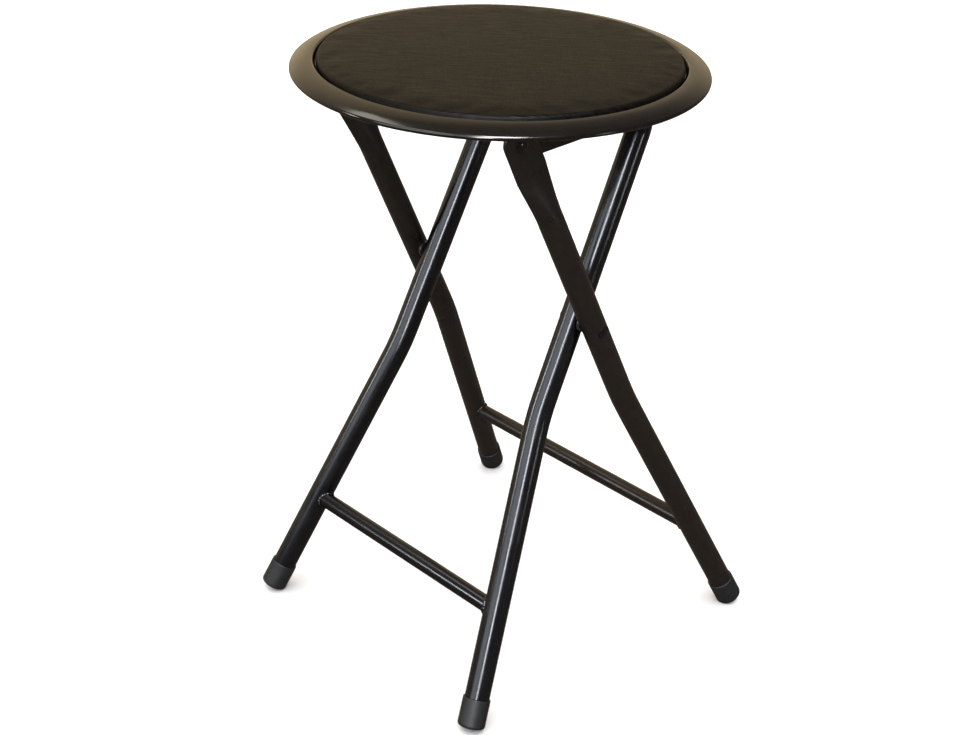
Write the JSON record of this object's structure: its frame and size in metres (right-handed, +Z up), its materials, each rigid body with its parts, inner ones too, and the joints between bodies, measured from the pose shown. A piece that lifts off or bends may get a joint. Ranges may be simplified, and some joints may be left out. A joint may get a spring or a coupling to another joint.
{
  "type": "folding stool",
  "caption": "Round padded seat on two crossed, bent tube frames that scissor shut while the seat swings up flat.",
  "frame": {"origin": "on the floor, below the middle of the stool's outline", "axes": "+Z up from the floor, +X to the right along the hinge and pivot rivets, -Y to the front where the seat's hinges are"},
  "size_m": [0.3082, 0.3076, 0.4685],
  "materials": {
    "frame_paint": "satin black paint",
    "rivet_paint": "black rivet",
    "seat_paint": "satin black paint",
    "seat_fabric": "fine ribbed weave",
    "seat_foam": "soft foam",
    "hardboard": "pressed hardboard",
    "clip_plastic": "matte",
    "spacer_plastic": "matte",
    "zinc_steel": "zinc plated",
    "foot_rubber": "matte"
  },
  "bodies": {
    "outer_frame": {"outer_left_leg": "frame_paint", "outer_right_leg": "frame_paint", "outer_stretcher": "frame_paint", "left_pivot_rivet": "rivet_paint", "right_pivot_rivet": "rivet_paint", "left_pivot_spacer": "spacer_plastic", "right_pivot_spacer": "spacer_plastic", "left_hinge_rivet": "rivet_paint", "right_hinge_rivet": "rivet_paint", "left_hinge_washer": "zinc_steel", "right_hinge_washer": "zinc_steel", "outer_left_foot": "foot_rubber", "outer_right_foot": "foot_rubber"},
    "inner_frame": {"inner_frame_tube": "frame_paint", "inner_stretcher": "frame_paint", "inner_left_foot": "foot_rubber", "inner_right_foot": "foot_rubber"},
    "seat": {"seat_pan": "seat_paint", "seat_board": "hardboard", "seat_foam": "seat_foam", "seat_cover": "seat_fabric", "board_screws": "zinc_steel", "clip_screws": "zinc_steel", "left_hinge_rail": "frame_paint", "right_hinge_rail": "frame_paint", "left_bar_clip": "clip_plastic", "right_bar_clip": "clip_plastic"}
  },
  "joints": [
    {"name": "leg_fold", "type": "hinge", "parent": "outer_frame", "child": "inner_frame", "pos_m": [0, 0.005, 0.283], "axis": [1, 0, 0], "range_deg": [0, 48]},
    {"name": "seat_fold", "type": "hinge", "parent": "outer_frame", "child": "seat", "pos_m": [0, -0.07464, 0.4417], "axis": [1, 0, 0], "range_deg": [0, 116.5]}
  ],
  "couplings": [
    {"joint": "seat_fold", "follows": "leg_fold", "ratio": 2.4167}
  ]
}
